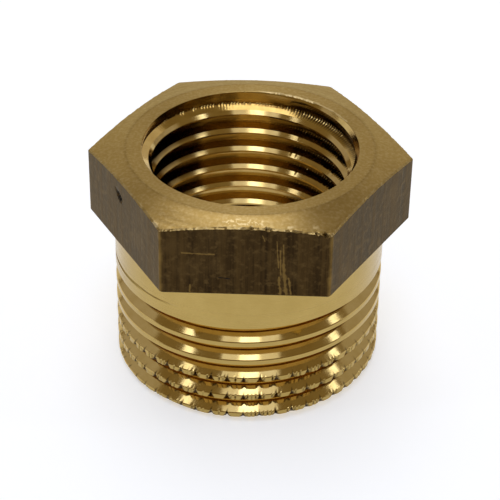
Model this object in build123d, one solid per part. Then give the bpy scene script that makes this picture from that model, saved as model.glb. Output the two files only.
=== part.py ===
"""A brass reducing bushing for pipework: a hexagon head over a threaded shank, with a smaller
threaded bore down its axis. It is one piece, turned from a drawn hexagonal bar.

It stands on the threaded end. +Z is up along the axis, and the origin is the centre of the end face.
Lengths are millimetres and angles are degrees.
"""
from build123d import *
import math
import os

# Head: the drawn bar on its six flats, faced and coned on top
HEX_ACROSS_FLATS = 17.0
HEX_HEIGHT = 4.9
TOP_RING_RADIUS = 7.5
TOP_CONE_ANGLE = 14.0
CORNER_ROUNDING = 0.15
SHOULDER_EDGE_BREAK = 0.1

# Shank: a plain collar under the head, then the male thread, 3/8 inch parallel.
# Its crests pass the +X side at MALE_CREST_HEIGHT above the end, and every pitch from there.
SHANK_LENGTH = 9.7
COLLAR_RADIUS = 8.28
COLLAR_LENGTH = 1.95
MALE_CREST_PER_PITCH = 0.24
MALE_ROOT_PER_PITCH = 0.133
MALE_CREST_HEIGHT = 0.87
MALE_RUNOUT_LENGTH = 1.2
LEAD_IN_WIDTH = 0.68
LEAD_IN_HEIGHT = 0.35

# Bore: drilled right through, then tapped from the head with the female thread, 1/4 inch parallel.
# Its crests pass the +X side at FEMALE_CREST_DEPTH below the top, and every pitch from there.
CORE_RADIUS = 5.9
FEMALE_CREST_PER_PITCH = 0.2
FEMALE_ROOT_PER_PITCH = 0.27
FEMALE_CREST_DEPTH = 0.35
FEMALE_THREAD_LENGTH = 8.0
FEMALE_RUNOUT_LENGTH = 1.2
MOUTH_MARGIN = 0.02
MOUTH_DEPTH = 0.6
CORE_EDGE_BREAK = 0.3

# Both threads have 19 threads to the inch, and flanks at half of 55 degrees
THREAD_PITCH = 1.337
FLANK_ANGLE = 27.5
# The crests fall away by this much over the length of each thread, so that it starts easily
CREST_TAPER = 0.02

# How far a cutting tool stands clear of the surface that it cuts into
TOOL_CLEARANCE = 0.12
# How far a cut runs past the end of the part
OVERRUN = 1.0

TOTAL_HEIGHT = SHANK_LENGTH + HEX_HEIGHT
COLLAR_BOTTOM = SHANK_LENGTH - COLLAR_LENGTH
CORNER_RADIUS = HEX_ACROSS_FLATS / 2 / math.cos(math.pi / 6)
FLANK_SLOPE = math.tan(math.radians(FLANK_ANGLE))


def thread_depth(crest_per_pitch, root_per_pitch):
    """How deep a groove is when its two flanks fill what the crest and root flats leave of a pitch."""
    flanks = (1 - crest_per_pitch - root_per_pitch) * THREAD_PITCH
    return flanks / 2 / FLANK_SLOPE


MALE_ROOT_RADIUS = COLLAR_RADIUS - thread_depth(MALE_CREST_PER_PITCH, MALE_ROOT_PER_PITCH)
FEMALE_ROOT_RADIUS = CORE_RADIUS + thread_depth(FEMALE_CREST_PER_PITCH, FEMALE_ROOT_PER_PITCH)
MOUTH_RADIUS = FEMALE_ROOT_RADIUS + MOUTH_MARGIN
# A height over the part that no cut reaches
ABOVE_ALL = TOTAL_HEIGHT + OVERRUN + THREAD_PITCH


def turned(*outline):
    """A solid of revolution about Z, from a closed outline of radius and height."""
    with BuildSketch(Plane.XZ) as section:
        with BuildLine():
            Polyline(*outline, close=True)
        make_face()
    return revolve(section.sketch, axis=Axis.Z)


def groove(crest_radius, root_radius, root_per_pitch, groove_height, bottom, top):
    """The metal that a thread's groove removes: one V with a flat root, carried up a right-hand helix.

    The middle of the groove passes the +X side at groove_height, and every pitch from there.
    """
    into_wall = math.copysign(1.0, root_radius - crest_radius)
    mouth_radius = crest_radius - into_wall * TOOL_CLEARANCE
    half_root = root_per_pitch * THREAD_PITCH / 2
    half_mouth = half_root + abs(root_radius - mouth_radius) * FLANK_SLOPE
    turns_below = math.ceil((groove_height - bottom) / THREAD_PITCH)
    start = groove_height - turns_below * THREAD_PITCH
    with BuildSketch(Plane.XZ) as section:
        with BuildLine():
            Polyline(
                (mouth_radius, start - half_mouth),
                (root_radius, start - half_root),
                (root_radius, start + half_root),
                (mouth_radius, start + half_mouth),
                close=True,
            )
        make_face()
    path = Pos(0, 0, start) * Helix(pitch=THREAD_PITCH, height=top - start, radius=root_radius)
    return sweep(section.sketch.face(), path=path, is_frenet=True)


def head():
    """The hexagonal bar with its long edges a little rounded, left tall for the facing cut."""
    with BuildPart() as bar:
        with BuildSketch(Plane.XY.offset(SHANK_LENGTH)):
            RegularPolygon(radius=CORNER_RADIUS, side_count=6)
        extrude(amount=HEX_HEIGHT + OVERRUN)
        fillet(bar.edges().filter_by(Axis.Z), CORNER_ROUNDING)
        chamfer(bar.faces().sort_by(Axis.Z)[0].edges(), SHOULDER_EDGE_BREAK)
    return bar.part


def top_cut():
    """The facing cut and the shallow cone that takes down the hexagon's corners."""
    outside = CORNER_RADIUS + OVERRUN
    cone_drop = (outside - TOP_RING_RADIUS) * math.tan(math.radians(TOP_CONE_ANGLE))
    return turned(
        (0, TOTAL_HEIGHT),
        (TOP_RING_RADIUS, TOTAL_HEIGHT),
        (outside, TOTAL_HEIGHT - cone_drop),
        (outside, ABOVE_ALL),
        (0, ABOVE_ALL),
    )


def shank():
    """The turned shank before its thread is cut."""
    end_radius = COLLAR_RADIUS - CREST_TAPER
    return turned(
        (0, 0),
        (end_radius - LEAD_IN_WIDTH, 0),
        (end_radius, LEAD_IN_HEIGHT),
        (COLLAR_RADIUS, COLLAR_BOTTOM),
        (COLLAR_RADIUS, SHANK_LENGTH),
        (0, SHANK_LENGTH),
    )


def male_groove():
    """The die's groove, which runs out to nothing on a cone that meets the collar."""
    crest_to_groove = THREAD_PITCH / 2
    whole = groove(
        COLLAR_RADIUS,
        MALE_ROOT_RADIUS,
        MALE_ROOT_PER_PITCH,
        MALE_CREST_HEIGHT + crest_to_groove,
        -OVERRUN,
        COLLAR_BOTTOM + OVERRUN,
    )
    runout_rise = OVERRUN * (COLLAR_RADIUS - MALE_ROOT_RADIUS) / MALE_RUNOUT_LENGTH
    runout_bottom = COLLAR_BOTTOM - MALE_RUNOUT_LENGTH
    left_standing = turned(
        (0, runout_bottom - OVERRUN),
        (MALE_ROOT_RADIUS - runout_rise, runout_bottom - OVERRUN),
        (COLLAR_RADIUS + runout_rise, COLLAR_BOTTOM + OVERRUN),
        (COLLAR_RADIUS + runout_rise, ABOVE_ALL),
        (0, ABOVE_ALL),
    )
    return whole - left_standing


def drilled_hole():
    """The core hole, with its broken edge below and the countersunk mouth above."""
    thread_bottom = TOTAL_HEIGHT - FEMALE_THREAD_LENGTH
    return turned(
        (0, -OVERRUN),
        (CORE_RADIUS + CORE_EDGE_BREAK + OVERRUN, -OVERRUN),
        (CORE_RADIUS, CORE_EDGE_BREAK),
        (CORE_RADIUS, thread_bottom - FEMALE_RUNOUT_LENGTH),
        (CORE_RADIUS + CREST_TAPER, TOTAL_HEIGHT - MOUTH_DEPTH),
        (MOUTH_RADIUS, TOTAL_HEIGHT),
        (MOUTH_RADIUS, TOTAL_HEIGHT + OVERRUN),
        (0, TOTAL_HEIGHT + OVERRUN),
    )


def female_groove():
    """The tap's groove, which runs out to nothing on the cone of the tap's lead."""
    crest_to_groove = THREAD_PITCH / 2
    thread_bottom = TOTAL_HEIGHT - FEMALE_THREAD_LENGTH
    whole = groove(
        CORE_RADIUS,
        FEMALE_ROOT_RADIUS,
        FEMALE_ROOT_PER_PITCH,
        TOTAL_HEIGHT - FEMALE_CREST_DEPTH - crest_to_groove,
        thread_bottom - FEMALE_RUNOUT_LENGTH - OVERRUN,
        TOTAL_HEIGHT + OVERRUN,
    )
    lead_rise = OVERRUN * (FEMALE_ROOT_RADIUS - CORE_RADIUS) / FEMALE_RUNOUT_LENGTH
    tap = turned(
        (0, thread_bottom - FEMALE_RUNOUT_LENGTH - OVERRUN),
        (CORE_RADIUS - lead_rise, thread_bottom - FEMALE_RUNOUT_LENGTH - OVERRUN),
        (FEMALE_ROOT_RADIUS + lead_rise, thread_bottom + OVERRUN),
        (FEMALE_ROOT_RADIUS + lead_rise, ABOVE_ALL),
        (0, ABOVE_ALL),
    )
    return whole & tap


blank = shank() + head() - top_cut()
bushing = blank - drilled_hole() - female_groove() - male_groove()

os.makedirs("parts", exist_ok=True)
export_step(bushing, "parts/hex_bushing.step")
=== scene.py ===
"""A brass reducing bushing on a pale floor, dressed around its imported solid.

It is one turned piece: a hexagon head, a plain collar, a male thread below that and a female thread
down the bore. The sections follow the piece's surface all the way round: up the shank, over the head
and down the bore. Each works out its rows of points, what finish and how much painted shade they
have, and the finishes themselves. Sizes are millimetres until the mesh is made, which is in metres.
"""
import math

import bpy
import numpy as np
from mathutils import Matrix, Vector


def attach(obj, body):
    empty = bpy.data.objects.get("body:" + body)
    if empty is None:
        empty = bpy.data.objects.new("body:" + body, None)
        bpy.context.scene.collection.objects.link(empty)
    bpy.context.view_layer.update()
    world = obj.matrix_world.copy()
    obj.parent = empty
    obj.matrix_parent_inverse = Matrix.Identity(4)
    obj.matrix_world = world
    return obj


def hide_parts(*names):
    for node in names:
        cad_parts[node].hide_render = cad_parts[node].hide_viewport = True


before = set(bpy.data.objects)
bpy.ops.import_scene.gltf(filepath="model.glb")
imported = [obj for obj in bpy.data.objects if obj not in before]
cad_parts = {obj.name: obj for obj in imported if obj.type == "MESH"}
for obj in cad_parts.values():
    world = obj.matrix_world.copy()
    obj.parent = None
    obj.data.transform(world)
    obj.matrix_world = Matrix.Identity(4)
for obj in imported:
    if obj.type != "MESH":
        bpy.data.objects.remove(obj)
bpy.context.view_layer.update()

# The shank's male thread. The shank is turned to the crest's size, a die cuts the thread up from the
# end, and it runs out below a plain collar. The last turns have caught on something hard: their
# crests are notched and serrated.
COLUMNS = 624
turn = np.linspace(0.0, 2 * np.pi, COLUMNS + 1)
chance = np.random.default_rng(19)
# The bushing's finishes, by their numbers in its mesh
TURNED, CUT, SKIN, FACED, TAPPED = range(5)

THREAD_PITCH = 1.337
SHANK_RADIUS = 8.28
SHANK_LENGTH = 9.7
COLLAR_BOTTOM = 7.95
MALE_CREST_HEIGHT = 0.87
LEAD_IN_WIDTH = 0.68
LEAD_IN_HEIGHT = 0.35
# The flank, from the crest's middle to the groove's: how far along the axis, and how deep
CREST_HALF_WIDTH = 0.14
MALE_FLANK_ALONG = [CREST_HALF_WIDTH, 0.195, 0.55, 0.60, 0.6685]
MALE_FLANK_DEPTH = [0.0, 0.035, 0.515, 0.75, 0.805]
# The rows of every pitch, by their height over the crest's middle
MALE_STATIONS = np.array([-0.14, 0.0, 0.14, 0.195, 0.225, 0.34, 0.55, 0.60, 0.6685, 0.737, 0.787])
# The groove is whole up to so many turns from its first pass at +X, and gone at so many
RUNOUT_START = 4.0
RUNOUT_END = 4.68
# A groove shows the die's cut from this depth on, and from so much more where it has run out
CUT_DEPTH = 0.01
RUNOUT_CUT_DEPTH = 0.14
# Crests below this height are worn
SERRATED_HEIGHT = 3.7
SERRATED_FADE = 0.4
NOTCHES_PER_TURN = 52
NOTCH_DEPTH = 0.2
NOTCH_HALF_WIDTH = 0.22
NOTCH_HEIGHT = 0.44
# The notches are deepest here, measured up from the crest's middle
NOTCH_BOTTOM = -0.14
TEETH_PER_TURN = 208
TOOTH_DEPTH = 0.07
# A tooth has fallen to nothing at one part in so many of the way to the next
TOOTH_SHARPNESS = 3
# How far from the crest's middle the teeth reach, in half widths of the crest
TOOTH_REACH = 1.7
# Painted shade in the worn crests: how deep a notch is that is painted fully dark, how much shade
# a millimetre of tooth gives, and how far from the crest's middle the shade reaches
NOTCH_FULLY_SHADED = 0.04
TOOTH_SHADE = 9
SHADE_REACH = 0.4

notch_depths = NOTCH_DEPTH * chance.uniform(0.5, 1.15, NOTCHES_PER_TURN * 3 + 7)
tooth_depths = TOOTH_DEPTH * np.maximum(chance.uniform(-0.6, 1.3, TEETH_PER_TURN * 2 + 11), 0)


def ring(radius, height, angle=turn):
    """A point at each angle round the axis: radius out from it, and height up."""
    radius, height, angle = np.broadcast_arrays(radius, height, angle)
    return np.stack([radius * np.cos(angle), radius * np.sin(angle), height], axis=-1)


def rise(value, start, width):
    """0 up to start, then straight up to 1 at a width beyond it."""
    return np.clip((value - start) / width, 0, 1)


def peak(value, middle, reach):
    """1 at the middle, falling straight to 0 at a reach to either side."""
    return np.clip(1 - np.abs(value - middle) / reach, 0, 1)


def helix_rows(stations, first_height, bottom, top):
    """Heights of rows that climb one pitch in a turn, from each station of every pitch.

    A row's height is first_height, plus its station, plus its pitches, plus the pitch times the share
    of a turn. What passes the bottom or the top is held there.
    """
    below = math.ceil((first_height - bottom) / THREAD_PITCH) + 1
    pitches = np.arange(-below, math.ceil((top - first_height) / THREAD_PITCH) + 1)
    start = (pitches[:, None] * THREAD_PITCH + stations[None, :]).ravel() + first_height
    return np.clip(start[:, None] + THREAD_PITCH * turn[None, :] / (2 * np.pi), bottom, top)


def along_helix(height, first_height):
    """Turns along the crest's helix from where it passes +X at first_height, and the distance from it.

    The whole turns are the nearest crest's; the rest of a turn is the angle's share.
    """
    share = turn / (2 * np.pi)
    climbed = (height - first_height) / THREAD_PITCH - share
    crest = np.round(climbed)
    return crest + share, np.abs(climbed - crest) * THREAD_PITCH


def nearest_cut(turns, count, depths):
    """Of count cuts a turn, the nearest one's depth, and how far off its middle is, in turns.

    The depths are taken one after another, and over again from the first.
    """
    place = turns * count
    nearest = np.round(place)
    return depths[nearest.astype(int) % len(depths)], np.abs(place - nearest) / count


def male_surface(height):
    """The thread's radius, its painted shade in notches and teeth, and whether the die has cut it.

    The radius is the crest's, less the flank's depth, less notches and teeth. A notch is a pyramid
    pressed in at the crest's lower edge: deepest there, and narrower the higher it goes. Towards the
    collar the groove gets shallower along its helix, where the die was drawn back, until it is gone.
    The lead-in cone cuts the thread off below.
    """
    share = turn / (2 * np.pi)
    turns, off_crest = along_helix(height, MALE_CREST_HEIGHT)
    groove_turns = np.floor((height - MALE_CREST_HEIGHT) / THREAD_PITCH - share) + share
    drawn_back = rise(groove_turns, RUNOUT_START, RUNOUT_END - RUNOUT_START)
    flank = np.interp(off_crest, MALE_FLANK_ALONG, MALE_FLANK_DEPTH)
    depth = np.maximum(flank - drawn_back * MALE_FLANK_DEPTH[-1], 0)
    is_cut = depth > CUT_DEPTH + RUNOUT_CUT_DEPTH * drawn_back

    crest_height = MALE_CREST_HEIGHT + turns * THREAD_PITCH
    serrated = np.clip((SERRATED_HEIGHT - crest_height) / SERRATED_FADE, 0, 1)
    notch, aside = nearest_cut(turns, NOTCHES_PER_TURN, notch_depths)
    across = aside * 2 * np.pi * SHANK_RADIUS / NOTCH_HALF_WIDTH
    upwards = np.abs(height - crest_height - NOTCH_BOTTOM) / NOTCH_HEIGHT
    dent = notch * np.clip(1 - across - upwards, 0, 1)
    tooth, aside = nearest_cut(turns, TEETH_PER_TURN, tooth_depths)
    bite = tooth * (1 - np.clip(aside * TEETH_PER_TURN * TOOTH_SHARPNESS, 0, 1))
    near_crest = np.clip(TOOTH_REACH - off_crest / CREST_HALF_WIDTH, 0, 1)
    radius = np.minimum(SHANK_RADIUS - depth, SHANK_RADIUS - dent * serrated)
    radius = radius - bite * serrated * near_crest
    lead_in = SHANK_RADIUS - LEAD_IN_WIDTH + height * LEAD_IN_WIDTH / LEAD_IN_HEIGHT

    # Painted shade: dark in the notches and where the teeth bite, near the crest
    painted_shade = np.clip(dent / NOTCH_FULLY_SHADED + TOOTH_SHADE * bite * near_crest, 0, 1)
    painted_shade = painted_shade * serrated * (off_crest < SHADE_REACH) * (height > 0)
    return np.minimum(radius, lead_in), painted_shade, is_cut


male_heights = helix_rows(MALE_STATIONS, MALE_CREST_HEIGHT, 0.0, COLLAR_BOTTOM)
male_radius, male_painted_shade, row_is_cut = male_surface(male_heights)
male_rows = ring(male_radius, male_heights)
# The faces between a row and the next are cut where either row is
next_is_cut = np.concatenate([row_is_cut[1:], row_is_cut[-1:]])
male_finish = np.where(row_is_cut | next_is_cut, CUT, TURNED)[:, :-1]

# Millimetres in a metre, and metres in a millimetre
MILLIMETRES = 1000.0
METRES = 0.001
# The painted shade's colour, laid over the metal in notches, nicks and the bore's side grooves
PAINTED_SHADE_COLOUR = (0.040, 0.021, 0.006, 1)
TURNED_COLOUR = (0.49, 0.35, 0.115, 1)
TURNED_TARNISH = (0.40, 0.275, 0.078, 1)
TURNED_LINES = 0.7
CUT_COLOUR = (0.58, 0.415, 0.15, 1)
CUT_TARNISH = (0.50, 0.335, 0.095, 1)


def feed(tree, made, values):
    """A value or a link for each named input of a node: _0 is its first, and a name has _ for a space."""
    for name, value in values.items():
        key = int(name[1:]) if name[0] == "_" and name[1:].isdigit() else name.replace("_", " ")
        if isinstance(value, bpy.types.NodeSocket):
            tree.links.new(value, made.inputs[key])
        else:
            made.inputs[key].default_value = value


def node(tree, kind, settings=None, **values):
    """A new node in a tree, with its settings, and a value or a link for each named input."""
    made = tree.nodes.new("ShaderNode" + kind)
    for name, value in (settings or {}).items():
        setattr(made, name, value)
    feed(tree, made, values)
    return made


def maths(tree, operation, *values, clamp=False):
    """The result of a sum on numbers or sockets."""
    inputs = {f"_{index}": value for index, value in enumerate(values)}
    return node(tree, "Math", {"operation": operation, "use_clamp": clamp}, **inputs).outputs[0]


def mixed(tree, share, first, second):
    """A colour between two, by a share."""
    return node(tree, "Mix", {"data_type": "RGBA"}, _0=share, _6=first, _7=second).outputs[2]


def noise(tree, place, scale, detail, roughness=0.5):
    """Cloudy noise at a place, from 0 to 1."""
    return node(tree, "TexNoise", Vector=place, Scale=scale, Detail=detail, Roughness=roughness).outputs[0]


def passed(tree, value, start, steepness):
    """How far a value is past a start, times a steepness, from 0 to 1."""
    return maths(tree, "MULTIPLY", maths(tree, "SUBTRACT", value, start), steepness, clamp=True)


def new_group(name, inputs, outputs):
    """An empty node group with named sockets, and its two end nodes."""
    tree = bpy.data.node_groups.new(name, "ShaderNodeTree")
    for label, kind, value in inputs:
        socket = tree.interface.new_socket(name=label, in_out="INPUT", socket_type="NodeSocket" + kind)
        socket.default_value = value
    for label, kind in outputs:
        tree.interface.new_socket(name=label, in_out="OUTPUT", socket_type="NodeSocket" + kind)
    return tree, tree.nodes.new("NodeGroupInput").outputs, tree.nodes.new("NodeGroupOutput").inputs


def use_group(tree, group, **values):
    """The outputs of a group, placed in a material with its own values."""
    made = tree.nodes.new("ShaderNodeGroup")
    made.node_tree = group
    feed(tree, made, values)
    return made.outputs


def tarnish_group():
    """Soft cloudy patches of a second colour, of a size in millimetres."""
    colours = [("Clean", "Color", (1, 1, 1, 1)), ("Tarnished", "Color", (0, 0, 0, 1))]
    patches = [("Size", "Float", 1.0), ("Amount", "Float", 0.5)]
    tree, given, result = new_group("tarnish", colours + patches, [("Color", "Color"), ("Cloud", "Float")])
    place = node(tree, "TexCoord").outputs["Object"]
    per_metre = maths(tree, "DIVIDE", MILLIMETRES, given["Size"])
    clouds = noise(tree, place, per_metre, detail=4.0, roughness=0.6)
    share = maths(tree, "MULTIPLY", passed(tree, clouds, start=0.35, steepness=3.0), given["Amount"])
    tree.links.new(mixed(tree, share, given["Clean"], given["Tarnished"]), result["Color"])
    tree.links.new(clouds, result["Cloud"])
    return tree


def tool_marks_group():
    """Fine lines side by side, a spacing in millimetres apart, along a place in metres.

    Coarse is the same with lines about six times as wide.
    """
    inputs = [("Place", "Float", 0.0), ("Spacing", "Float", 0.1)]
    tree, given, result = new_group("tool_marks", inputs, [("Height", "Float"), ("Coarse", "Float")])
    lines = maths(tree, "DIVIDE", maths(tree, "MULTIPLY", given["Place"], MILLIMETRES), given["Spacing"])
    fine = node(tree, "TexNoise", {"noise_dimensions": "1D"}, W=lines, Scale=1.0, Detail=2.0)
    broad = node(tree, "TexNoise", {"noise_dimensions": "1D"}, W=lines, Scale=0.17, Detail=1.0)
    tree.links.new(fine.outputs[0], result["Height"])
    tree.links.new(broad.outputs[0], result["Coarse"])
    return tree


def shade_paint_group():
    """Painted shade over the metal's colour, as much as the mesh's painted_shade attribute says."""
    tree, given, result = new_group("shade_paint", [("Metal", "Color", (1, 1, 1, 1))], [("Color", "Color")])
    shaded = node(tree, "Attribute", {"attribute_name": "painted_shade"}).outputs["Fac"]
    tree.links.new(mixed(tree, shaded, given["Metal"], PAINTED_SHADE_COLOUR), result["Color"])
    return tree


tarnish = tarnish_group()
tool_marks = tool_marks_group()
shade_paint = shade_paint_group()


def new_metal(name):
    """A metal material, its node tree, its shader, and object coordinates whole and split in three."""
    material = bpy.data.materials.new(name)
    material.use_nodes = True
    tree = material.node_tree
    shader = tree.nodes["Principled BSDF"]
    shader.inputs["Metallic"].default_value = 1.0
    place = node(tree, "TexCoord").outputs["Object"]
    return material, tree, shader, place, node(tree, "SeparateXYZ", Vector=place).outputs


def coloured(tree, shader, colour):
    """Gives a shader its colour, with painted shade over it."""
    tree.links.new(use_group(tree, shade_paint, Metal=colour)["Color"], shader.inputs["Base Color"])


def roughened(tree, shader, pattern, least, spread):
    """Gives a shader the least roughness, plus a spread times a pattern."""
    tree.links.new(maths(tree, "MULTIPLY_ADD", pattern, spread, least), shader.inputs["Roughness"])


def bumped(tree, shader, height, strength, distance):
    """Gives a shader a relief by a height, in metres at full strength."""
    bump = node(tree, "Bump", Height=height, Strength=strength, Distance=distance)
    tree.links.new(bump.outputs["Normal"], shader.inputs["Normal"])


def turned_metal():
    """What the lathe left on crests, collar and end face: fine lines round the axis, and tarnish."""
    material, tree, shader, place, xyz = new_metal("turned_brass")
    marks = use_group(tree, tool_marks, Place=xyz["Z"], Spacing=0.05)
    colour = use_group(tree, tarnish, Clean=TURNED_COLOUR, Tarnished=TURNED_TARNISH, Size=1.6, Amount=0.6)
    lines = maths(tree, "MULTIPLY", marks["Height"], TURNED_LINES)
    coloured(tree, shader, mixed(tree, lines, colour["Color"], TURNED_TARNISH))
    roughened(tree, shader, marks["Coarse"], least=0.17, spread=0.16)
    bumped(tree, shader, marks["Height"], strength=0.6, distance=0.000006)
    return material


def cut_metal(name, clean, tarnished, patch_size, line_spacing, least_rough, strength):
    """What a die or a tap has cut: smooth and bright, with finer lines and smaller patches."""
    material, tree, shader, place, xyz = new_metal(name)
    marks = use_group(tree, tool_marks, Place=xyz["Z"], Spacing=line_spacing)
    colour = use_group(tree, tarnish, Clean=clean, Tarnished=tarnished, Size=patch_size, Amount=0.7)
    coloured(tree, shader, colour["Color"])
    roughened(tree, shader, colour["Cloud"], least=least_rough, spread=0.12)
    bumped(tree, shader, marks["Height"], strength=strength, distance=0.000003)
    return material


turned_brass = turned_metal()
cut_thread = cut_metal(
    "cut_thread", CUT_COLOUR, CUT_TARNISH,
    patch_size=0.9, line_spacing=0.035, least_rough=0.03, strength=0.25,
)

# The plain collar, as the lathe left it, up to the shoulder. Its rows turn their columns little by
# little to where the hexagon needs them, close together at the corners.
HEX_CORNERS = 6
COLUMN_CROWDING = 0.8
COLLAR_ROWS = 6
crowded = turn - COLUMN_CROWDING / HEX_CORNERS * np.sin(HEX_CORNERS * turn)


def between(share):
    """Angles of the columns, from equal steps at share 0 to those of the hexagon at share 1."""
    return turn + share * (crowded - turn)


collar_share = np.linspace(0, 1, COLLAR_ROWS + 1)[1:, None]
collar_heights = COLLAR_BOTTOM + collar_share * (SHANK_LENGTH - COLLAR_BOTTOM)
collar_rows = ring(SHANK_RADIUS, collar_heights, between(collar_share))
collar_painted_shade = np.zeros(collar_rows.shape[:2])
collar_finish = np.full(len(collar_rows), TURNED)

# The hexagon head: drawn bar, still with the drawing die's streaks and a dark skin on its six
# flats. The lathe has coned its top, and that cut has left a ragged little burr along the edge.
HEX_ACROSS_FLATS = 17.0
TOTAL_HEIGHT = 14.6
TOP_RING_RADIUS = 7.5
TOP_CONE_ANGLE = 14.0
CORNER_ROUNDING = 0.2
EDGE_BREAK = 0.1
BURR_HEIGHT = 0.012
BURR_SPIKE = 0.03
# How far each row of the ragged edge lies under it, and how far in from the bar's outline
FLAT_TOP_DROP = 0.11
BURR_DROP = 0.065
EDGE_DROP = 0.01
EDGE_INSET = 0.075
INNER_INSET = 0.115
CONE_INSET = 0.16
CONE_ROWS = 5
# The columns turn back from the hexagon's places by this share on the cone, and the rest on the ring
CONE_TURNING = 0.5
# Rows of points up a flat, as shares of its height, close together where it is dented
FLAT_SHARES = np.concatenate([[0.0, 0.34], np.linspace(0.66, 0.89, 9), [1.0]])[:, None]
# Dents in the left front flat: each line's start, end and half width, and how deep it goes
DENTS = [
    ((-7.78, -3.52, 13.54), (-7.68, -3.69, 13.46), 0.20, 0.05),
    ((-7.64, -3.77, 13.34), (-7.49, -4.03, 13.12), 0.26, 0.15),
]
# Inwards from that flat, in degrees from +X
INWARD_ANGLE = 30.0
DENT_INWARD = (math.cos(math.radians(INWARD_ANGLE)), math.sin(math.radians(INWARD_ANGLE)), 0.0)
# Nicks in the top edge: angle and half width in degrees, and depth
NICKS = [
    (206.0, 1.2, 0.04),
    (262.0, 0.6, 0.04),
    (272.3, 0.7, 0.10),
    (278.6, 1.1, 0.14),
    (288.4, 1.0, 0.05),
    (295.6, 0.9, 0.09),
    (298.4, 1.3, 0.17),
]
# The darkest painted shade in a nick, and how deep a nick is that gets all of it
NICK_SHADE = 0.85
NICK_FULLY_SHADED = 0.11


def hexagon_radius(angle):
    """Distance from the axis to the bar's outline, at an angle from a corner.

    On a flat it is half the width over the cosine of the angle from the flat's middle. Near a
    corner it is the far side of the rounding's circle.
    """
    half = HEX_ACROSS_FLATS / 2
    from_corner = np.abs((angle + np.pi / 6) % (np.pi / 3) - np.pi / 6)
    flat = half / np.cos(np.pi / 6 - from_corner)
    centre = (half - CORNER_ROUNDING) / math.cos(math.pi / 6)
    aside = np.minimum(centre * np.sin(from_corner), CORNER_ROUNDING)
    rounded = centre * np.cos(from_corner) + np.sqrt(CORNER_ROUNDING ** 2 - aside ** 2)
    flat_until = math.atan((half - CORNER_ROUNDING) * math.tan(math.pi / 6) / half)
    return np.where(np.pi / 6 - from_corner > flat_until, rounded, flat)


def cone_height(radius):
    """The coned top: the full height over the ring, and falling beyond it."""
    return TOTAL_HEIGHT - np.maximum(radius - TOP_RING_RADIUS, 0) * math.tan(math.radians(TOP_CONE_ANGLE))


def closed(values):
    """One value a column, and the first again at the end, where the ring closes."""
    return np.append(values, values[0])


def dented(points):
    """Points pressed inwards: by a dent's whole depth on its line, and less with the distance from it.

    The nearest place on the line is the start plus the clipped share of the stroke that the point
    lies along.
    """
    pressed = np.zeros(points.shape[:2])
    for start, end, half_width, depth in DENTS:
        stroke = np.subtract(end, start)
        reach = points - start
        share = np.clip(reach @ stroke / (stroke @ stroke), 0, 1)
        away = np.linalg.norm(reach - share[..., None] * stroke, axis=-1)
        pressed = np.maximum(pressed, depth * peak(away, 0, half_width))
    return points + pressed[..., None] * DENT_INWARD


outline = hexagon_radius(crowded)
ragged = closed(chance.normal(0, 1, COLUMNS))
spikes = closed(np.maximum(chance.uniform(-5, 1, COLUMNS), 0))
nick = np.zeros(COLUMNS + 1)
for middle, half_width, nick_depth in NICKS:
    nick = np.maximum(nick, nick_depth * peak(np.degrees(crowded), middle, half_width))

shoulder_row = ring(outline - EDGE_BREAK, SHANK_LENGTH, crowded)[None]
flat_bottom = SHANK_LENGTH + EDGE_BREAK
edge_height = cone_height(outline) + BURR_HEIGHT * ragged + BURR_SPIKE * spikes - nick
flat_top = edge_height - FLAT_TOP_DROP
flat_rows = dented(ring(outline, flat_bottom + FLAT_SHARES * (flat_top - flat_bottom), crowded))
burr_row = ring(outline, edge_height - BURR_DROP, crowded)[None]
edge_row = ring(outline - EDGE_INSET - nick, edge_height - EDGE_DROP, crowded)[None]
inner_row = ring(outline - INNER_INSET - nick, cone_height(outline - INNER_INSET), crowded)[None]
cone_share = np.linspace(0, 1, CONE_ROWS)[:, None]
cone_edge = outline - CONE_INSET - nick
cone_radius = cone_edge + cone_share * (TOP_RING_RADIUS - cone_edge)
cone_rows = ring(cone_radius, cone_height(cone_radius), between(1 - CONE_TURNING * cone_share))
head_rows = np.concatenate([shoulder_row, flat_rows, burr_row, edge_row, inner_row, cone_rows])

first_burr = 1 + len(flat_rows)
# Painted shade in the top edge's nicks, on the burr's row and the edge's row
head_painted_shade = np.zeros(head_rows.shape[:2])
head_painted_shade[first_burr:first_burr + 2] = NICK_SHADE * rise(nick, 0, NICK_FULLY_SHADED)
head_finish = np.where(np.arange(len(head_rows)) < first_burr, SKIN, FACED)

# The flats' skin: streaks along the bar, darker and lighter brown, rubbed to brass on the corners
# and where something hard has scraped it
SKIN_DARK = (0.016, 0.009, 0.004, 1)
SKIN_LIGHT = (0.066, 0.038, 0.012, 1)
SKIN_PATCH = (0.086, 0.052, 0.018, 1)
SKIN_TINT = (1.0, 0.91, 0.77, 1)
RUBBED_BRASS = (0.42, 0.26, 0.07, 1)
# The gouges' colour: near black, painted shade in their hollows
GOUGE_SHADE_COLOUR = (0.010, 0.009, 0.009, 1)
STREAK_WIDTH = 0.5
STREAKS_ALONG = 45.0
# Spots to the metre
BLOTCH_SCALE = 420.0
GRIT_SCALE = 2600.0
CORNER_NOISE_SCALE = 1100.0
# How far the corners are worn, in radians round the axis, how raggedly, and how sharply it ends
CORNER_WORN = 0.015
CORNER_RAGGED = 0.04
CORNER_STEEPNESS = 45.0
# How much brass shows at most
CORNER_BRASS = 0.34
SCRAPE_BRASS = 0.26
# How much blotches and grit stand out beside the streaks, and how deep the scrapes go
BLOTCH_RELIEF = 0.5
GRIT_RELIEF = 0.8
SCRAPE_RELIEF = 0.6
# The grain that breaks a scratch: spots to the millimetre, and the share of its width that is left,
# which is the offset plus the contrast times the grain, but never under the thinnest share
SCRATCH_GRAIN = 4.0
GRAIN_CONTRAST = 4.0
GRAIN_OFFSET = -1.0
THINNEST_SHARE = 0.02
# Over 1, so that a scratch is solid in its middle and not only on its line
MASK_STRENGTH = 1.6
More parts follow.
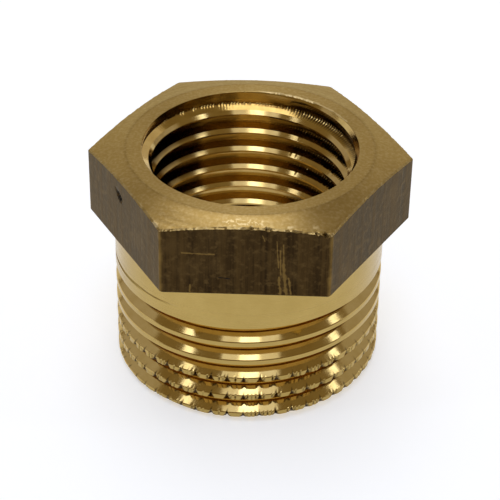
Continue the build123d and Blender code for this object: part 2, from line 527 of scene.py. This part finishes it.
# Each scrape's and gouge's start, end and half width; the gouges are painted dark as shade
SCRAPES = [
    ((-3.61, -8.5, 12.56), (-1.79, -8.5, 12.50), 0.06),
    ((1.78, -8.5, 13.5), (1.90, -8.5, 11.70), 0.045),
    ((1.98, -8.5, 12.9), (2.04, -8.5, 11.20), 0.055),
    ((2.16, -8.5, 13.3), (2.22, -8.5, 11.60), 0.04),
    ((2.18, -8.5, 11.95), (2.36, -8.5, 9.85), 0.12),
    ((1.94, -8.5, 11.05), (2.04, -8.5, 9.85), 0.09),
    ((2.50, -8.5, 11.00), (2.64, -8.5, 9.90), 0.07),
    ((-3.17, -8.5, 10.34), (-3.19, -8.5, 9.84), 0.07),
    ((0.95, -8.5, 13.90), (1.10, -8.5, 13.5), 0.035),
]
SHADED_GOUGES = [
    ((-1.52, -8.5, 10.92), (-0.86, -8.5, 10.84), 0.06),
    ((-7.80, -3.48, 13.56), (-7.70, -3.66, 13.48), 0.13),
    ((-7.64, -3.77, 13.34), (-7.49, -4.03, 13.12), 0.32),
]


def vector_maths(tree, operation, **values):
    """The outputs of a sum on vectors."""
    return node(tree, "VectorMath", {"operation": operation}, **values).outputs


def scratch_group():
    """A soft-edged stroke between two places on the surface, in millimetres, broken by grain.

    The mask falls with the distance from the nearest place on the stroke's line, down to nothing at
    the width times a share that the grain gives.
    """
    inputs = [("From", "Vector", (0, 0, 0)), ("To", "Vector", (1, 0, 0)), ("Width", "Float", 0.1)]
    tree, given, result = new_group("scratch", inputs, [("Mask", "Float")])
    place = node(tree, "TexCoord").outputs["Object"]
    place = vector_maths(tree, "SCALE", _0=place, Scale=MILLIMETRES)["Vector"]
    reach = vector_maths(tree, "SUBTRACT", _0=place, _1=given["From"])["Vector"]
    stroke = vector_maths(tree, "SUBTRACT", _0=given["To"], _1=given["From"])["Vector"]
    over = vector_maths(tree, "DOT_PRODUCT", _0=reach, _1=stroke)["Value"]
    whole = vector_maths(tree, "DOT_PRODUCT", _0=stroke, _1=stroke)["Value"]
    share = maths(tree, "DIVIDE", over, whole, clamp=True)
    nearest = vector_maths(tree, "SCALE", _0=stroke, Scale=share)["Vector"]
    away = vector_maths(tree, "DISTANCE", _0=reach, _1=nearest)["Value"]
    grain = noise(tree, place, SCRATCH_GRAIN, detail=3.0)
    width_share = maths(tree, "MULTIPLY_ADD", grain, GRAIN_CONTRAST, GRAIN_OFFSET)
    width_share = maths(tree, "MAXIMUM", width_share, THINNEST_SHARE)
    edge = maths(tree, "MULTIPLY", given["Width"], width_share)
    mask = maths(tree, "SUBTRACT", 1.0, maths(tree, "DIVIDE", away, edge), clamp=True)
    mask = maths(tree, "MINIMUM", maths(tree, "MULTIPLY", mask, MASK_STRENGTH), 1.0)
    tree.links.new(mask, result["Mask"])
    return tree


scratch = scratch_group()


def strokes(tree, places):
    """The mask of several scratches, each a start, an end and a width."""
    mask = 0.0
    for start, end, width in places:
        one = use_group(tree, scratch, From=start, To=end, Width=width)["Mask"]
        mask = maths(tree, "MAXIMUM", one, mask)
    return mask


def worn_corners(tree, place, xyz):
    """A mask of the six long edges: what lies nearer to a corner than the ragged worn width."""
    from_corner = maths(tree, "PINGPONG", maths(tree, "ARCTAN2", xyz["Y"], xyz["X"]), math.pi / 6)
    spots = noise(tree, place, CORNER_NOISE_SCALE, detail=4.0)
    ragged_width = maths(tree, "MULTIPLY", maths(tree, "SUBTRACT", spots, 0.5), CORNER_RAGGED)
    inside = maths(tree, "ADD", maths(tree, "SUBTRACT", CORNER_WORN, from_corner), ragged_width)
    return maths(tree, "MULTIPLY", inside, CORNER_STEEPNESS, clamp=True)


def drawn_skin():
    """The bar's dark skin, streaked, blotched and gritty, with worn corners, scrapes, painted-shade
    gouges.
    """
    material, tree, shader, place, xyz = new_metal("drawn_flats")
    shader.inputs["Specular Tint"].default_value = SKIN_TINT
    across = MILLIMETRES / STREAK_WIDTH
    stretched = node(tree, "Mapping", Vector=place, Scale=(across, across, STREAKS_ALONG)).outputs[0]
    streaks = noise(tree, stretched, 1.0, detail=6.0, roughness=0.7)
    blotches = noise(tree, place, BLOTCH_SCALE, detail=5.0, roughness=0.6)
    grit = noise(tree, place, GRIT_SCALE, detail=3.0, roughness=0.6)
    skin = mixed(tree, passed(tree, streaks, start=0.36, steepness=3.2), SKIN_DARK, SKIN_LIGHT)
    skin = mixed(tree, passed(tree, blotches, start=0.5, steepness=3.0), skin, SKIN_PATCH)
    skin = mixed(tree, passed(tree, grit, start=0.5, steepness=4.0), skin, SKIN_PATCH)

    scraped = strokes(tree, SCRAPES)
    worn = maths(tree, "MULTIPLY", worn_corners(tree, place, xyz), CORNER_BRASS)
    bared = maths(tree, "MAXIMUM", worn, maths(tree, "MULTIPLY", scraped, SCRAPE_BRASS))
    skin = mixed(tree, bared, skin, RUBBED_BRASS)
    # The gouges are painted near black: painted shade in their hollows
    coloured(tree, shader, mixed(tree, strokes(tree, SHADED_GOUGES), skin, GOUGE_SHADE_COLOUR))
    roughened(tree, shader, streaks, least=0.26, spread=0.3)
    relief = maths(tree, "MULTIPLY_ADD", blotches, BLOTCH_RELIEF, streaks)
    relief = maths(tree, "MULTIPLY_ADD", grit, GRIT_RELIEF, relief)
    relief = maths(tree, "SUBTRACT", relief, maths(tree, "MULTIPLY", scraped, SCRAPE_RELIEF))
    bumped(tree, shader, relief, strength=0.6, distance=0.00003)
    return material


drawn_flats = drawn_skin()

# The faced top: rings from the facing tool, which spread a reflection outwards from the axis, with
# bright specks where knocks have hit it, a painted highlight on the mouth's burred rim, and a line of
# painted shade at the step between ring and cone
FACED_COLOUR = (0.36, 0.25, 0.088, 1)
FACED_TARNISH = (0.30, 0.20, 0.064, 1)
FACED_BRIGHT = (0.62, 0.50, 0.28, 1)
# The colour of the painted shade at the step between ring and cone
STEP_SHADE_COLOUR = (0.20, 0.13, 0.04, 1)
FACED_TINT = (0.90, 0.82, 0.62, 1)
SPECK_SCALE = 5200.0
SPECK_RELIEF = 0.8
KNOCK_AND_HIGHLIGHT_BRIGHTNESS = 0.8
# Painted shade along the step between ring and cone: how dark its middle is, and how much less so
# by the metre
STEP_SHADE = 0.4
STEP_FADE = 2500.0
# A broad knock in front that shows as specks only, and small bright ones
SPECKED_PATCH = [((-0.95, -8.05, 14.43), (0.75, -8.15, 14.42), 0.42)]
KNOCKS = [
    ((-5.22, -7.92, 14.12), (-5.12, -7.97, 14.10), 0.24),
    ((2.45, -8.25, 14.33), (2.55, -8.25, 14.33), 0.14),
    ((3.85, -8.05, 14.22), (3.95, -8.02, 14.22), 0.16),
]
# A painted highlight along the mouth's burred edge, chord by chord round the rim
RIM_BURR_HIGHLIGHTS = [
    ((0.35, 6.63, 14.6), (1.60, 6.44, 14.6), 0.08),
    ((1.60, 6.44, 14.6), (2.89, 5.97, 14.6), 0.13),
    ((2.89, 5.97, 14.6), (3.98, 5.30, 14.6), 0.11),
    ((3.98, 5.30, 14.6), (5.02, 4.35, 14.6), 0.09),
    ((5.02, 4.35, 14.6), (5.84, 3.15, 14.6), 0.07),
]


def faced_metal():
    """The top's finish: its rings lie round the axis, so its gloss is stretched along the radius."""
    material, tree, shader, place, xyz = new_metal("faced_top")
    shader.inputs["Anisotropic"].default_value = 0.75
    shader.inputs["Anisotropic Rotation"].default_value = 0.25
    shader.inputs["Specular Tint"].default_value = FACED_TINT
    tangent = node(tree, "Tangent", {"direction_type": "RADIAL", "axis": "Z"}).outputs[0]
    tree.links.new(tangent, shader.inputs["Tangent"])
    flat_place = node(tree, "CombineXYZ", X=xyz["X"], Y=xyz["Y"]).outputs[0]
    outwards = vector_maths(tree, "LENGTH", _0=flat_place)["Value"]
    marks = use_group(tree, tool_marks, Place=outwards, Spacing=0.06)
    colour = use_group(tree, tarnish, Clean=FACED_COLOUR, Tarnished=FACED_TARNISH, Size=2.5, Amount=0.6)

    speckle = noise(tree, place, SPECK_SCALE, detail=2.0)
    specks = passed(tree, speckle, start=0.5, steepness=9.0)
    dust = passed(tree, speckle, start=0.42, steepness=0.9)
    knocks_and_rim_highlight = maths(tree, "MULTIPLY", strokes(tree, SPECKED_PATCH), specks)
    # The burred rim gets the bright colour too, as a painted highlight
    knocks_and_rim_highlight = maths(tree, "MAXIMUM", knocks_and_rim_highlight, strokes(tree, KNOCKS + RIM_BURR_HIGHLIGHTS))
    bright = maths(tree, "MAXIMUM", maths(tree, "MULTIPLY", knocks_and_rim_highlight, KNOCK_AND_HIGHLIGHT_BRIGHTNESS), dust)
    # A line of painted shade along the step between ring and cone
    from_step = maths(tree, "ABSOLUTE", maths(tree, "SUBTRACT", outwards, TOP_RING_RADIUS * METRES))
    step = maths(tree, "SUBTRACT", STEP_SHADE, maths(tree, "MULTIPLY", from_step, STEP_FADE), clamp=True)
    shade = mixed(tree, step, colour["Color"], STEP_SHADE_COLOUR)
    coloured(tree, shader, mixed(tree, bright, shade, FACED_BRIGHT))
    roughened(tree, shader, marks["Coarse"], least=0.24, spread=0.2)
    relief = maths(tree, "MULTIPLY_ADD", speckle, SPECK_RELIEF, marks["Height"])
    bumped(tree, shader, relief, strength=0.6, distance=0.000006)
    return material


faced_top = faced_metal()

# The faced ring round the mouth, and the bore: drilled, tapped from above with the smaller female
# thread, and countersunk. The tap has chattered, which leaves fine teeth in the grooves.
MOUTH_RADIUS = 6.56
MOUTH_DEPTH = 1.1
CORE_RADIUS = 5.9
CORE_EDGE_BREAK = 0.3
FEMALE_CREST_DEPTH = 0.35
FEMALE_CREST_HEIGHT = TOTAL_HEIGHT - FEMALE_CREST_DEPTH
FEMALE_THREAD_LENGTH = 8.0
FEMALE_RUNOUT_LENGTH = 1.2
FEMALE_BOTTOM = TOTAL_HEIGHT - FEMALE_THREAD_LENGTH - FEMALE_RUNOUT_LENGTH
FEMALE_FLANK_ALONG = [0.06, 0.25, 0.47, 0.6685]
FEMALE_FLANK_DEPTH = [0.0, 0.243, 0.665, 0.68]
FEMALE_STATIONS = np.array([-0.06, 0.06, 0.25, 0.38, 0.47, 0.57, 0.6685, 0.867])
# The teeth lie in a strip along the groove's lower edge, so high over the crest's middle
CHATTER_DEPTH = 0.09
CHATTER_HEIGHT = 0.46
CHATTER_REACH = 0.1
# How much of that depth they have all round, how much more they have on the far side of the mouth
# and on the right, and how much of the last they lack at the mouth
CHATTER_ALL_ROUND = 0.06
CHATTER_FAR = 0.3
CHATTER_RIGHT = 0.9
CHATTER_LACKING = 0.6
# Where each side starts and over how much it fades in, by cosine or sine, and what lies below the
# mouth, by its depth under the top
RIGHT_SIDE = (0.3, 0.15)
LEFT_SIDE = (0.47, 0.06)
FAR_SIDE = (0.3, 0.3)
BELOW_MOUTH = (1.3, 0.2)
# How dark the painted shade in the grooves is at both sides, and from how far off the crest's middle
RIGHT_SHADE = 0.85
RIGHT_SHADE_FROM = (0.3, 0.05)
LEFT_SHADE = 0.75
LEFT_SHADE_FROM = (0.1, 0.15)
# How much of that painted shade a tooth of full depth takes off, and how far up and down from its middle
TOOTH_LIGHTENS = 1.5
LIGHTENED_REACH = 0.2
# The rim's bevel, how far it drops for its width, and where it is burred wider, in degrees
RIM_BEVEL = 0.02
RIM_DROP_SHARE = 0.7
BURRED_BEVEL = 0.08
BURRED_FROM = 52
BURRED_TO = 84
BURRED_FADE = 3
# Notches in the rim: angle and half width in degrees, and depth
RIM_NOTCHES = [(94.5, 0.8, 0.06), (180.6, 0.9, 0.08)]
RING_ROWS = 3
BORE_COLOUR = (0.56, 0.40, 0.145, 1)
BORE_TARNISH = (0.44, 0.28, 0.08, 1)

chatter_depths = CHATTER_DEPTH * chance.uniform(0.5, 1.2, TEETH_PER_TURN * 2 + 5)


def female_surface(height):
    """The thread's radius, and how much painted shade lies in its groove.

    The radius is the drilled hole's, plus the flank's depth, less the chatter's teeth. The
    countersink opens it at the mouth, and the tap's lead lets it fade below. Painted shade lies in the
    grooves at both sides, and less where there are teeth.
    """
    turns, off_crest = along_helix(height, FEMALE_CREST_HEIGHT)
    over_crest = height - FEMALE_CREST_HEIGHT - turns * THREAD_PITCH
    right_side = rise(np.cos(turn), *RIGHT_SIDE)
    left_side = rise(-np.cos(turn), *LEFT_SIDE)
    far_side = rise(np.sin(turn), *FAR_SIDE)
    below_mouth = rise(TOTAL_HEIGHT - height, *BELOW_MOUTH)
    at_mouth = 1 - below_mouth

    tooth, aside = nearest_cut(turns + 0.5, TEETH_PER_TURN, chatter_depths)
    narrow = 1 - np.clip(aside * TEETH_PER_TURN * TOOTH_SHARPNESS, 0, 1)
    amount = CHATTER_ALL_ROUND + CHATTER_FAR * far_side * at_mouth
    amount = amount + right_side * (CHATTER_RIGHT - CHATTER_LACKING * at_mouth)
    bite = tooth * narrow * peak(over_crest, CHATTER_HEIGHT, CHATTER_REACH) * amount
    # Painted shade in the grooves at the bore's left and right sides, lighter where the teeth are
    lightened = TOOTH_LIGHTENS * tooth / CHATTER_DEPTH * peak(over_crest, CHATTER_HEIGHT, LIGHTENED_REACH) * narrow
    on_right = RIGHT_SHADE * right_side * rise(off_crest, *RIGHT_SHADE_FROM) * (1 - lightened)
    on_left = LEFT_SHADE * left_side * rise(off_crest, *LEFT_SHADE_FROM) * below_mouth
    painted_shade = np.clip(np.maximum(on_right, on_left), 0, 1)

    flank = np.interp(off_crest, FEMALE_FLANK_ALONG, FEMALE_FLANK_DEPTH)
    lead = (height - FEMALE_BOTTOM) / FEMALE_RUNOUT_LENGTH
    depth = np.minimum(flank, np.maximum(lead, 0) * FEMALE_FLANK_DEPTH[-1])
    opening = (height - TOTAL_HEIGHT + MOUTH_DEPTH) / MOUTH_DEPTH * (MOUTH_RADIUS - CORE_RADIUS)
    return CORE_RADIUS + np.maximum(depth, opening) - bite, painted_shade * (depth > opening)


degrees = np.degrees(turn)
burred = rise(np.minimum(degrees - BURRED_FROM, BURRED_TO - degrees), 0, BURRED_FADE)
bevel = RIM_BEVEL + burred * BURRED_BEVEL * closed(chance.uniform(0.1, 1.0, COLUMNS))
for middle, half_width, notch_depth in RIM_NOTCHES:
    bevel = bevel + notch_depth * peak(degrees, middle, half_width)
ring_share = np.linspace(0, 1, RING_ROWS + 1)[1:, None]
ring_radius = TOP_RING_RADIUS + ring_share * (MOUTH_RADIUS + bevel - TOP_RING_RADIUS)
ring_rows = ring(ring_radius, TOTAL_HEIGHT, between((1 - CONE_TURNING) * (1 - ring_share)))

thread_heights = helix_rows(FEMALE_STATIONS, FEMALE_CREST_HEIGHT, FEMALE_BOTTOM, TOTAL_HEIGHT)[::-1]
thread_heights = np.minimum(thread_heights, TOTAL_HEIGHT - RIM_DROP_SHARE * bevel)
thread_radius, thread_painted_shade = female_surface(thread_heights)
thread_rows = ring(thread_radius, thread_heights)
core_row = ring(CORE_RADIUS, CORE_EDGE_BREAK)[None]
break_row = ring(CORE_RADIUS + CORE_EDGE_BREAK, 0.0)[None]
bore_rows = np.concatenate([ring_rows, thread_rows, core_row, break_row])
bore_painted_shade = np.pad(thread_painted_shade, ((RING_ROWS, 2), (0, 0)))
bore_finish = np.where(np.arange(len(bore_rows)) < RING_ROWS, FACED, TAPPED)
bore_finish[-1] = TURNED
tapped_bore = cut_metal(
    "tapped_bore", BORE_COLOUR, BORE_TARNISH,
    patch_size=0.8, line_spacing=0.03, least_rough=0.05, strength=0.3,
)

# The whole piece is one closed surface. Every ring joins the next, the last joins the first across
# the end face, and rings that meet are welded.
WELD_STEPS = 1.0e4
SHARP_ANGLE = 9.0


def closed_mesh(name, rows, finish, painted_shade):
    """A mesh of two triangles between each pair of columns and rows, with points that meet made one.

    Points meet where they round to the same step, of so many in a millimetre. A triangle with two
    corners in one place is left out.
    """
    count, across = rows.shape[:2]
    loop = np.concatenate([rows, rows[:1]]).reshape(-1, 3)
    keys = np.round(loop * WELD_STEPS).astype(np.int64)
    first, joined = np.unique(keys, axis=0, return_index=True, return_inverse=True)[1:]
    joined = joined.ravel().reshape(count + 1, across)
    here, beside = joined[:-1, :-1], joined[:-1, 1:]
    over, over_beside = joined[1:, :-1], joined[1:, 1:]
    halves = [np.stack([here, beside, over_beside], -1), np.stack([here, over_beside, over], -1)]
    faces = np.stack(halves, axis=2).reshape(-1, 3)
    slots = np.repeat(finish.ravel(), 2)
    whole = (faces[:, 0] != faces[:, 1]) & (faces[:, 1] != faces[:, 2]) & (faces[:, 2] != faces[:, 0])
    faces, slots = faces[whole], slots[whole]
    mesh = bpy.data.meshes.new(name)
    mesh.from_pydata((loop[first] * METRES).tolist(), [], faces.tolist())
    mesh.polygons.foreach_set("material_index", slots)
    loop_painted_shade = np.concatenate([painted_shade, painted_shade[:1]]).ravel()
    mesh.attributes.new("painted_shade", "FLOAT", "POINT").data.foreach_set("value", loop_painted_shade[first])
    mesh.polygons.foreach_set("use_smooth", np.ones(len(faces), bool))
    mesh.set_sharp_from_angle(angle=math.radians(SHARP_ANGLE))
    mesh.update()
    return mesh


all_rows = np.concatenate([male_rows, collar_rows, head_rows, bore_rows])
all_painted_shade = np.concatenate([male_painted_shade, collar_painted_shade, head_painted_shade, bore_painted_shade])
rest_finish = np.concatenate([collar_finish, head_finish, bore_finish])
rest_finish = np.broadcast_to(rest_finish[:, None], (len(rest_finish), COLUMNS))
all_finish = np.concatenate([male_finish, rest_finish])
bushing_mesh = closed_mesh("bushing_surface", all_rows, all_finish, all_painted_shade)
bushing = bpy.data.objects.new("bushing", bushing_mesh)
bpy.context.scene.collection.objects.link(bushing)
# In the order of the finishes' numbers
for metal in (turned_brass, cut_thread, drawn_flats, faced_top, tapped_bore):
    bushing_mesh.materials.append(metal)
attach(bushing, "root")
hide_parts("hex_bushing")

# The camera, at the photograph's place and angle, looking down at the bushing from the front. Its
# angles are degrees, and its distances metres.
VIEW_AZIMUTH = 1.2
VIEW_ELEVATION = 34.75
VIEW_ROLL = 0.97
VIEW_DISTANCE = 0.1143
VIEW_AIM = Vector((0.000078, 0.0, 0.0070))
NEAREST_SEEN = 0.005
PICTURE_PIXELS = 500
FOCAL_PIXELS = 1832.0
SENSOR_WIDTH = 36.0


def toward(azimuth, elevation):
    """A direction out from the bushing: azimuth round from the front to the right, elevation up."""
    round_by, up_by = math.radians(azimuth), math.radians(elevation)
    level = math.cos(up_by)
    return Vector((math.sin(round_by) * level, -math.cos(round_by) * level, math.sin(up_by)))


def facing(place, back, roll=0.0):
    """The matrix of a camera or lamp at a place, whose back points away from what it looks at."""
    right = Vector((0, 0, 1)).cross(back).normalized()
    up = back.cross(right)
    cosine, sine = math.cos(math.radians(roll)), math.sin(math.radians(roll))
    axes = (cosine * right + sine * up, -sine * right + cosine * up, back, place)
    return Matrix([[axis[row] for axis in axes] for row in range(3)] + [[0, 0, 0, 1]])


camera_data = bpy.data.cameras.new("camera")
camera_data.sensor_fit = "HORIZONTAL"
camera_data.sensor_width = SENSOR_WIDTH
camera_data.lens = FOCAL_PIXELS / PICTURE_PIXELS * SENSOR_WIDTH
camera_data.clip_start = NEAREST_SEEN
camera = bpy.data.objects.new("camera", camera_data)
view_back = toward(VIEW_AZIMUTH, VIEW_ELEVATION)
camera.matrix_world = facing(VIEW_AIM + VIEW_DISTANCE * view_back, view_back, VIEW_ROLL)
bpy.context.scene.collection.objects.link(camera)
bpy.context.scene.camera = camera
bpy.context.scene.view_settings.view_transform = "Standard"

# The floor: pale card that lies flat under the bushing and curves up far off, all round. It keeps
# the bushing's soft shadow, and it glows a little to the camera and in reflections. In metres.
FLOOR_RADIUS = 0.45
FLOOR_RISE = 0.12
FLOOR_FLAT_SHARE = 0.6
FLOOR_SPOKES = 96
FLOOR_RINGS = 24
FLOOR_GLOW = 0.50
CARD_COLOUR = (0.805, 0.80, 0.785, 1)
GLOW_COLOUR = (1, 1, 1, 1)
around = np.linspace(0, 2 * np.pi, FLOOR_SPOKES + 1)
outward = np.linspace(0, 1, FLOOR_RINGS + 1)[:, None]
lift = FLOOR_RISE * rise(outward, FLOOR_FLAT_SHARE, 1 - FLOOR_FLAT_SHARE) ** 2
floor_points = ring(FLOOR_RADIUS * outward, lift, around).reshape(-1, 3)
inner = (np.arange(FLOOR_RINGS)[:, None] * (FLOOR_SPOKES + 1) + np.arange(FLOOR_SPOKES)).ravel()
outer = inner + FLOOR_SPOKES + 1
floor_faces = np.stack([inner, outer, outer + 1, inner + 1], -1)
floor_mesh = bpy.data.meshes.new("floor")
floor_mesh.from_pydata(floor_points.tolist(), [], floor_faces.tolist())
floor = bpy.data.objects.new("floor", floor_mesh)
bpy.context.scene.collection.objects.link(floor)


def pale_card():
    """Dull card, plus its glow for the rays that look at it or mirror it."""
    material = bpy.data.materials.new("pale_floor")
    material.use_nodes = True
    tree = material.node_tree
    tree.nodes.clear()
    rays = node(tree, "LightPath").outputs
    seen = maths(tree, "MAXIMUM", rays["Is Camera Ray"], rays["Is Glossy Ray"])
    seen = maths(tree, "MAXIMUM", seen, rays["Is Transmission Ray"])
    card = node(tree, "BsdfDiffuse", Color=CARD_COLOUR).outputs[0]
    glow_strength = maths(tree, "MULTIPLY", seen, FLOOR_GLOW)
    glow = node(tree, "Emission", Color=GLOW_COLOUR, Strength=glow_strength).outputs[0]
    both = node(tree, "AddShader", _0=card, _1=glow).outputs[0]
    node(tree, "OutputMaterial", Surface=both)
    return material


floor_mesh.materials.append(pale_card())

# The light: a dim room, a large soft lamp overhead, and soft panels that the bright metal mirrors.
# What the metal mirrors of the room is warmer than what lights the floor. In metres.
ROOM_LIGHT = 0.26
ROOM_COLOUR = (0.82, 0.82, 0.84, 1)
MIRRORED_ROOM_COLOUR = (1.0, 0.77, 0.40, 1)
LAMP_DISTANCE = 0.35
LAMP_AIM = Vector((0, 0, 0.007))
# A panel's watts to the square metre, for each unit of its brightness
LAMP_WATTS = 4
PANEL_COLOUR = (0.86, 0.97, 1.28)
PLAIN_COLOUR = (1.0, 1.0, 1.0)

world = bpy.data.worlds.new("room")
world.use_nodes = True
room = world.node_tree
mirrored = node(room, "LightPath").outputs["Is Glossy Ray"]
room_colour = mixed(room, mirrored, ROOM_COLOUR, MIRRORED_ROOM_COLOUR)
room.links.new(room_colour, room.nodes["Background"].inputs["Color"])
room.nodes["Background"].inputs["Strength"].default_value = ROOM_LIGHT
bpy.context.scene.world = world


def lamp(name, azimuth, elevation, wide, high, brightness, distance=LAMP_DISTANCE, colour=PANEL_COLOUR):
    """A flat panel that faces the bushing, wide and high in degrees as the bushing sees it."""
    light = bpy.data.lights.new(name, "AREA")
    light.shape = "RECTANGLE"
    light.color = colour
    light.size = 2 * distance * math.tan(math.radians(wide / 2))
    light.size_y = 2 * distance * math.tan(math.radians(high / 2))
    light.energy = brightness * LAMP_WATTS * light.size * light.size_y
    holder = bpy.data.objects.new(name, light)
    lamp_back = toward(azimuth, elevation)
    holder.matrix_world = facing(LAMP_AIM + distance * lamp_back, lamp_back)
    holder.visible_camera = False
    bpy.context.scene.collection.objects.link(holder)


lamp("front_panel", 0.2, 69.0, 30.0, 26.0, 0.8)
lamp("front_panel_core", -1.5, 69.0, 10.2, 26.0, 1.9, 0.33)
lamp("left_panel", -70.0, 54.0, 4.8, 22.0, 1.9)
lamp("right_panel", 90.5, 50.0, 4.2, 22.0, 2.0)
lamp("left_fill", -108.0, 30.0, 56.0, 26.0, 0.24)
lamp("right_fill", 114.0, 30.0, 50.0, 26.0, 0.22)
lamp("overhead", 191.0, 75.0, 28.0, 46.0, 1.55, colour=PLAIN_COLOUR)
lamp("back_panel", 180.0, 30.0, 60.0, 36.0, 0.35, 0.4, PLAIN_COLOUR)
